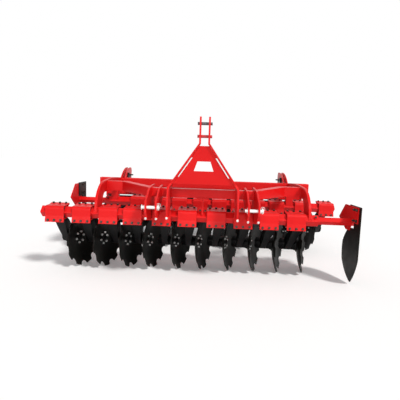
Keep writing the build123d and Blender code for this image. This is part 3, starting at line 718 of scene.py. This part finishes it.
for side, word in SIDES:
    low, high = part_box(f"side_arch_{word}")
    inner = low.x if side > 0 else high.x
    front = ends_low.y - SEAM
    back = ends_high.y + SEAM
    top = ends_high.z + SEAM
    weld(beads, (inner - side * SEAM, front, ends_low.z), (inner - side * SEAM, front, ends_high.z))
    weld(beads, (inner, ends_low.y, top), (inner, ends_high.y, top))
    weld(beads, (inner, back, ends_low.z), (inner, back, ends_high.z))
    rear_front = rear_low.y - SEAM
    for edge in (low.x - SEAM, high.x + SEAM):
        weld(beads, (edge, rear_front, rear_low.z + 0.010), (edge, rear_front, rear_high.z - 0.006))
        for face in (-1, 1):
            foot_y = FRONT_Y + face * ARCH_SEAM_REACH
            weld(beads, (edge, FRONT_Y, BEAM_Z + BEAM_SEAM_TOP), (edge, foot_y, BEAM_Z + ARCH_SEAM_LOW))
    kink = side * KINK_X
    beam_end = side * middle_high.x
    weld(beads, (kink, front, ends_low.z), (kink, front, ends_high.z), FINE_BEAD)
    weld(beads, (beam_end, beam_front, middle_low.z), (beam_end, beam_front, middle_high.z), FINE_BEAD)
for face in (-1, 1):
    edge = face * (PLATE_THICK / 2 + SEAM)
    head_start, head_end = ((edge, strut_front + reach, STRUT_HEAD_Z) for reach in STRUT_HEAD_SEAM)
    weld(beads, head_start, head_end)
    for way in (-1, 1):
        foot = (edge, FRONT_Y + way * STRUT_SEAM_REACH, BEAM_Z + BEAM_SEAM_TOP - STRUT_SEAM_REACH)
        weld(beads, (edge, FRONT_Y, BEAM_Z + BEAM_SEAM_TOP), foot)
finish_piece(beads, "frame_welds", red, "frame")

# Weld beads of the roller's frame
ARM_INNER_SEAM = 0.925
ARM_OUTER_SEAM = 1.011
TUBE_CORNER = 0.008
TUBE_TOP_INSET = 0.010
tube_low, tube_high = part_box("roller_cross_tube")
tube_seam = tube_high.x - SEAM
front = tube_low.y - SEAM
top = tube_high.z + SEAM
frame_beads = bmesh.new()
for side in (-1, 1):
    for x in (side * ARM_INNER_SEAM, side * ARM_OUTER_SEAM, side * tube_seam):
        weld(frame_beads, (x, front, tube_low.z + TUBE_CORNER), (x, front, tube_high.z - TUBE_CORNER))
    top_start = (side * tube_seam, tube_low.y + TUBE_TOP_INSET, top)
    weld(frame_beads, top_start, (side * tube_seam, tube_high.y - TUBE_TOP_INSET, top))
finish_piece(frame_beads, "roller_frame_welds", red, "roller_frame")


# Floor, lamps and a white surround
def background_rays(tree):
    """1 for the rays that show the background: camera, glossy and transmission rays."""
    path = tree.nodes.new("ShaderNodeLightPath")
    either = combine(tree, "MAXIMUM", path.outputs["Is Camera Ray"], path.outputs["Is Glossy Ray"])
    return combine(tree, "MAXIMUM", either, path.outputs["Is Transmission Ray"])


FLOOR_HALF = 60
FLOOR_LIFT = 0.10
floor_corners = [
    (-FLOOR_HALF, -FLOOR_HALF, 0), (FLOOR_HALF, -FLOOR_HALF, 0),
    (FLOOR_HALF, FLOOR_HALF, 0), (-FLOOR_HALF, FLOOR_HALF, 0)]
floor_mesh = bpy.data.meshes.new("floor")
floor_mesh.from_pydata(floor_corners, [], [(0, 1, 2, 3)])
floor = bpy.data.objects.new("floor", floor_mesh)
scene.collection.objects.link(floor)
floor_paint, tree, shader = new_material("floor_white")
shader.inputs["Base Color"].default_value = (0.96, 0.96, 0.96, 1)
shader.inputs["Roughness"].default_value = 0.9
shader.inputs["Specular IOR Level"].default_value = 0.1
glow = tree.nodes.new("ShaderNodeEmission")
lift = remap(tree, background_rays(tree), 0, 1, 0, FLOOR_LIFT)
total = tree.nodes.new("ShaderNodeAddShader")
tree.links.new(lift, glow.inputs["Strength"])
tree.links.new(shader.outputs["BSDF"], total.inputs[0])
tree.links.new(glow.outputs["Emission"], total.inputs[1])
tree.links.new(total.outputs["Shader"], tree.nodes["Material Output"].inputs["Surface"])
floor_mesh.materials.append(floor_paint)

world = bpy.data.worlds.new("surround")
scene.world = world
world.use_nodes = True
tree = world.node_tree
background = tree.nodes["Background"]
background.inputs["Color"].default_value = (0.97, 0.98, 1, 1)
background.inputs["Strength"].default_value = 0.34
white = tree.nodes.new("ShaderNodeBackground")
white.inputs["Color"].default_value = (1, 1, 1, 1)
white.inputs["Strength"].default_value = 1
mix = tree.nodes.new("ShaderNodeMixShader")
tree.links.new(background_rays(tree), mix.inputs["Fac"])
tree.links.new(background.outputs["Background"], mix.inputs[1])
tree.links.new(white.outputs["Background"], mix.inputs[2])
tree.links.new(mix.outputs["Shader"], tree.nodes["World Output"].inputs["Surface"])


def soft_lamp(name, energy, spread, direction, colour):
    """A distant lamp that shines along the direction; spread, in degrees, softens its shadows."""
    light = bpy.data.lights.new(name, "SUN")
    light.energy = energy
    light.angle = math.radians(spread)
    light.color = colour
    lamp = bpy.data.objects.new(name, light)
    lamp.rotation_euler = Vector(direction).to_track_quat("-Z", "Y").to_euler()
    scene.collection.objects.link(lamp)


soft_lamp("key", 2.5, 9, (-0.67, 0.74, -0.96), (1, 0.985, 0.96))
soft_lamp("fill", 0.85, 40, (0.17, 0.94, -0.30), (1, 1, 1))
